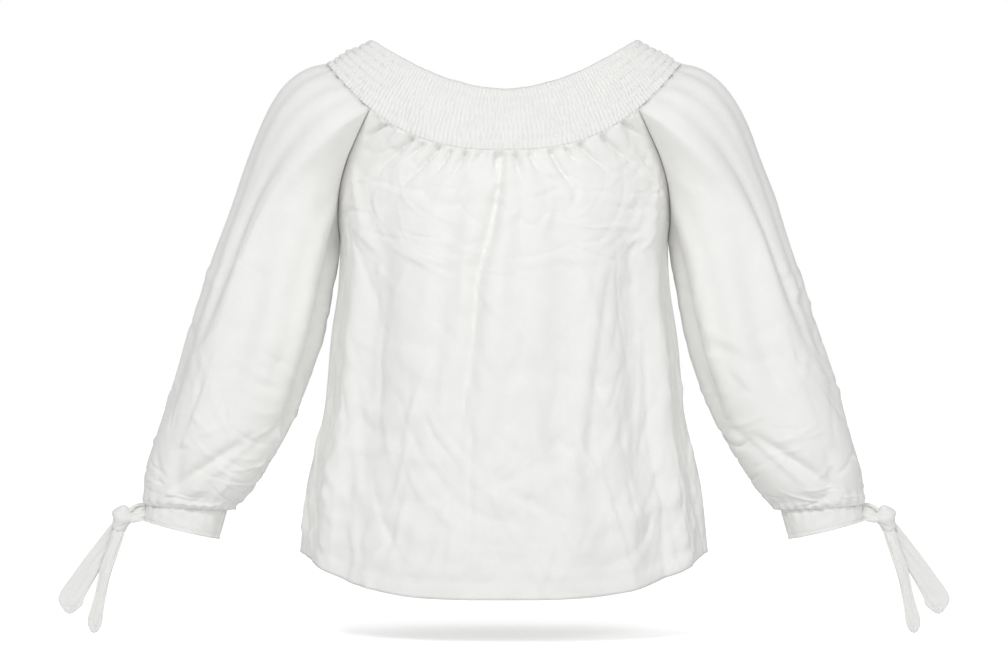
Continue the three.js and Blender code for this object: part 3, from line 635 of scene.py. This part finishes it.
def build_garment():
    yoke = make_yoke()
    cover("smocked_yoke")
    front, back = make_panels()
    cover("front_panel")
    cover("back_panel")
    for side, mirror in (("left", False), ("right", True)):
        sleeve = grid_object(f"sleeve_cloth_{side}", sleeve_points(61 if mirror else 81), True, CLOTH,
                             mirror=mirror)
        cover(f"sleeve_{side}")
        cuff = grid_object(f"cuff_band_{side}", cuff_points(), True, CLOTH, shell=1.2, mirror=mirror)
        cover(f"cuff_{side}")
        for piece, tie in TIES.items():
            strip = closed_object(f"tie_{piece}_cloth_{side}", strip_points(tie), mirror)
            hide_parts(f"{tie['node']}_{side}")
        knot = closed_object(f"tie_knot_cloth_{side}", knot_points(), mirror)
        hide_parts(f"tie_knot_{side}")


# ---------- studio ----------
FLOOR_HEIGHT = -0.597
FLOOR_SIZE = 14.0
EYE_HEIGHT = -0.283
EYE_DISTANCE = 3.6
FRAME_WIDTH = 1.058  # metres across the picture at the garment
WORLD_LIGHT = 0.46
LAMP_TARGET = (0, 0, -0.25)
LAMPS = {
    "front_left": dict(place=(-0.9, -2.6, 1.7), size=0.8, energy=33),
    "front_right": dict(place=(1.3, -2.7, 1.0), size=0.9, energy=19),
}
# the paper's own light, by distance in metres from the point under the garment
FLOOR_GLOW = {"From Min": 0.3, "From Max": 0.85, "To Min": 0.24, "To Max": 0.75}


def seen_directly(nodes, links):
    """1 for rays from the camera, or seen in a reflection or through glass, and 0 for light on the object."""
    path = nodes.new("ShaderNodeLightPath")
    value = path.outputs["Is Camera Ray"]
    for ray in ("Is Glossy Ray", "Is Transmission Ray"):
        either = nodes.new("ShaderNodeMath")
        either.operation = "MAXIMUM"
        links.new(value, either.inputs[0])
        links.new(path.outputs[ray], either.inputs[1])
        value = either.outputs[0]
    return value


def add_floor():
    mesh = bpy.data.meshes.new("floor")
    corners = [(x * FLOOR_SIZE, y * FLOOR_SIZE, FLOOR_HEIGHT) for x, y in ((-1, -1), (1, -1), (1, 1), (-1, 1))]
    mesh.from_pydata(corners, [], [(0, 1, 2, 3)])
    material = bpy.data.materials.new("floor_paper")
    material.use_nodes = True
    nodes, links = material.node_tree.nodes, material.node_tree.links
    shader = nodes["Principled BSDF"]
    shader.inputs["Base Color"].default_value = (0.97, 0.97, 0.97, 1)
    shader.inputs["Roughness"].default_value = 1
    shader.inputs["Specular IOR Level"].default_value = 0
    place = nodes.new("ShaderNodeTexCoord")
    away = nodes.new("ShaderNodeVectorMath")
    away.operation = "LENGTH"
    links.new(place.outputs["Object"], away.inputs[0])
    fade = nodes.new("ShaderNodeMapRange")
    fade.interpolation_type = "SMOOTHSTEP"
    for name, value in FLOOR_GLOW.items():
        fade.inputs[name].default_value = value
    links.new(away.outputs["Value"], fade.inputs["Value"])
    strength = nodes.new("ShaderNodeMath")
    strength.operation = "MULTIPLY"
    links.new(seen_directly(nodes, links), strength.inputs[0])
    links.new(fade.outputs["Result"], strength.inputs[1])
    glow = nodes.new("ShaderNodeEmission")
    glow.inputs["Color"].default_value = (1, 1, 1, 1)
    links.new(strength.outputs[0], glow.inputs["Strength"])
    both = nodes.new("ShaderNodeAddShader")
    links.new(shader.outputs[0], both.inputs[0])
    links.new(glow.outputs[0], both.inputs[1])
    links.new(both.outputs[0], nodes["Material Output"].inputs["Surface"])
    mesh.materials.append(material)
    floor = bpy.data.objects.new("floor", mesh)
    bpy.context.scene.collection.objects.link(floor)


def add_world():
    world = bpy.data.worlds.new("studio")
    world.use_nodes = True
    nodes, links = world.node_tree.nodes, world.node_tree.links
    light = nodes["Background"]
    light.inputs["Color"].default_value = (1, 1, 1, 1)
    light.inputs["Strength"].default_value = WORLD_LIGHT
    seen = nodes.new("ShaderNodeBackground")
    seen.inputs["Strength"].default_value = 1.0
    seen.inputs["Color"].default_value = (1, 1, 1, 1)
    mixer = nodes.new("ShaderNodeMixShader")
    links.new(seen_directly(nodes, links), mixer.inputs[0])
    links.new(light.outputs[0], mixer.inputs[1])
    links.new(seen.outputs[0], mixer.inputs[2])
    links.new(mixer.outputs[0], nodes["World Output"].inputs["Surface"])
    bpy.context.scene.world = world


def add_lamp(name, place, size, energy):
    lamp = bpy.data.lights.new(name, "AREA")
    lamp.size = size
    lamp.energy = energy
    obj = bpy.data.objects.new(name, lamp)
    obj.location = place
    obj.rotation_euler = (Vector(LAMP_TARGET) - Vector(place)).to_track_quat("-Z", "Y").to_euler()
    bpy.context.scene.collection.objects.link(obj)


def add_camera():
    camera = bpy.data.cameras.new("camera")
    camera.lens = camera.sensor_width * EYE_DISTANCE / FRAME_WIDTH
    obj = bpy.data.objects.new("camera", camera)
    obj.location = (0, -EYE_DISTANCE, EYE_HEIGHT)
    obj.rotation_euler = (math.pi / 2, 0, 0)
    bpy.context.scene.collection.objects.link(obj)
    bpy.context.scene.camera = obj


build_garment()
add_floor()
add_world()
for lamp_name, lamp_row in LAMPS.items():
    add_lamp(lamp_name, **lamp_row)
add_camera()
bpy.context.scene.view_settings.view_transform = "Standard"
